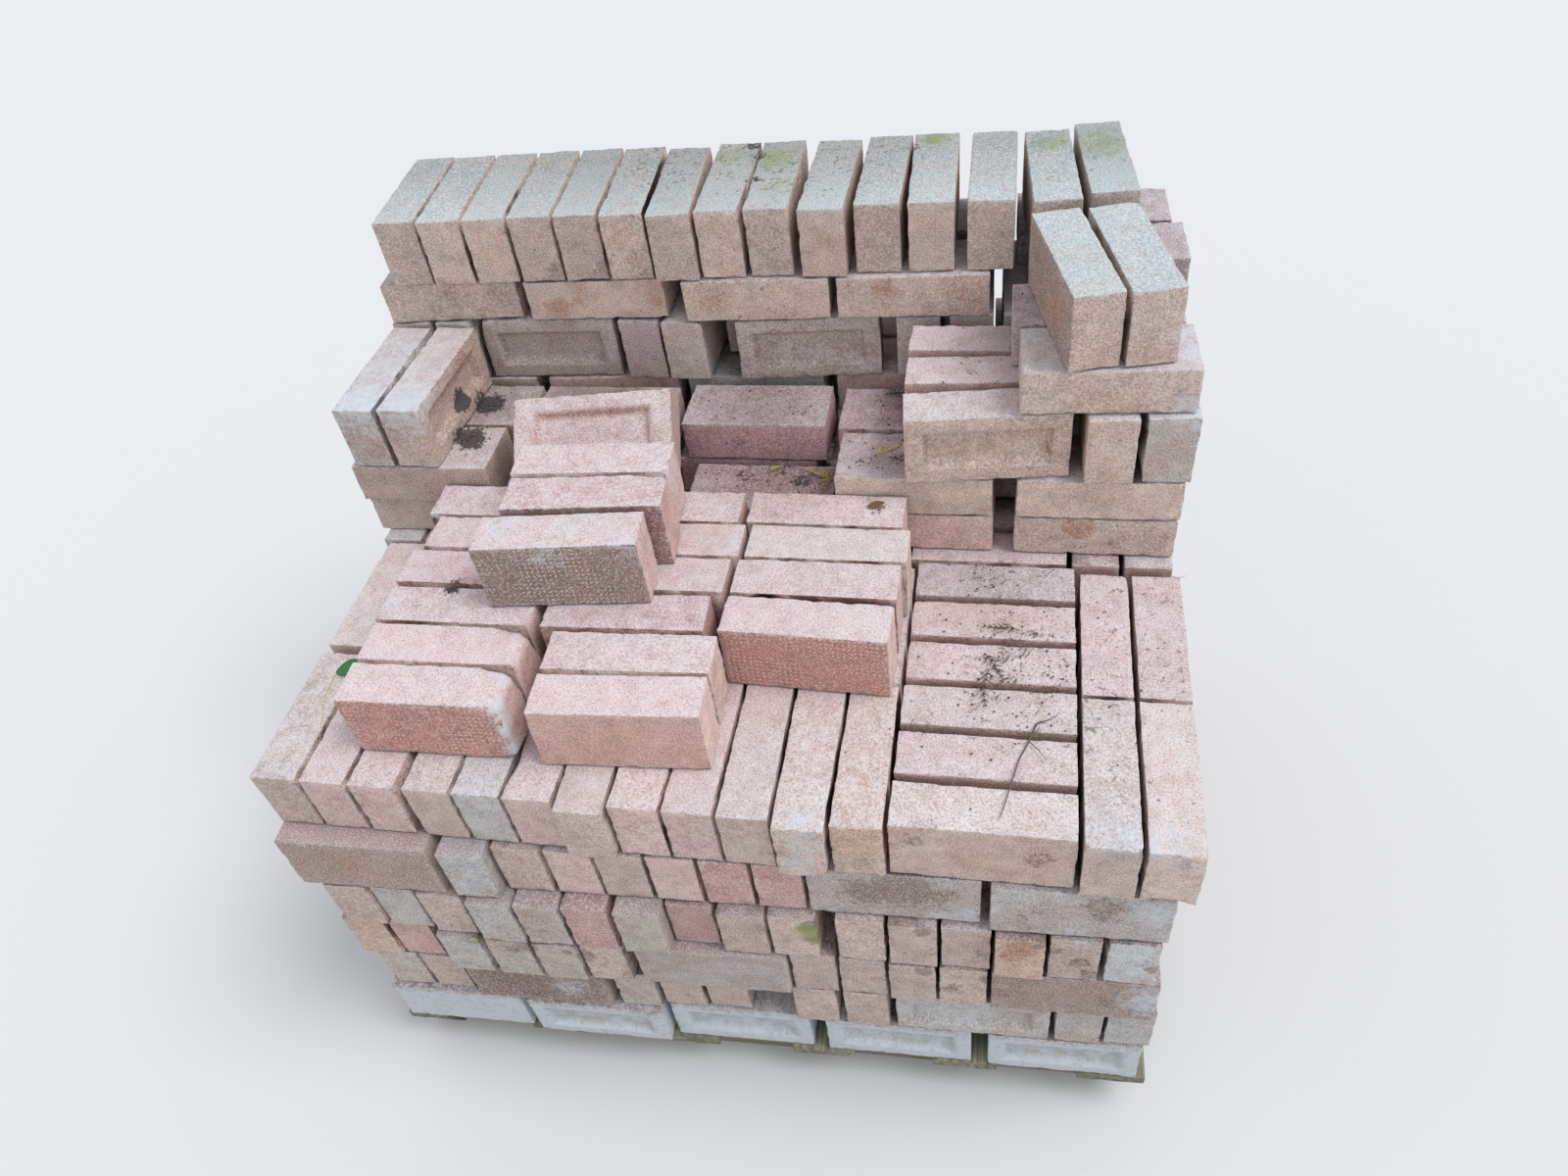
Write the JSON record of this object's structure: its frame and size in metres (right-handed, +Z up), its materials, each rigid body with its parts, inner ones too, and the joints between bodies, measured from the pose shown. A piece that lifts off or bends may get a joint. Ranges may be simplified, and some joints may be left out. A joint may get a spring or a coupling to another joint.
{
  "type": "pallet of bricks",
  "caption": "Timber pallet carrying a dry stack of frogged clay facing bricks, with a full-height wall at the back, a lower shelf in front and loose bricks put down on the shelf.",
  "frame": {"origin": "centre of the pallet's footprint, on the floor under the middle bearer", "axes": "+Z up, +X to the right along the front of the stack, +Y to the back, where the wall stands full height"},
  "size_m": [1.192, 0.977, 1.115],
  "materials": {
    "brick_multi": "rough, dusty, unglazed",
    "pallet_wood": "weathered, rough sawn"
  },
  "bodies": {
    "root": {"course_1": "brick_multi", "course_2": "brick_multi", "course_3": "brick_multi", "course_4": "brick_multi", "course_5": "brick_multi", "course_6": "brick_multi", "wall_flat_1": "brick_multi", "wall_flat_2": "brick_multi", "wall_edge_1": "brick_multi", "wall_flat_3": "brick_multi", "wall_edge_2": "brick_multi", "loose_lower": "brick_multi", "loose_upper": "brick_multi", "leaning_brick": "brick_multi", "pallet_boards": "pallet_wood", "pallet_bearers": "pallet_wood"}
  },
  "joints": []
}
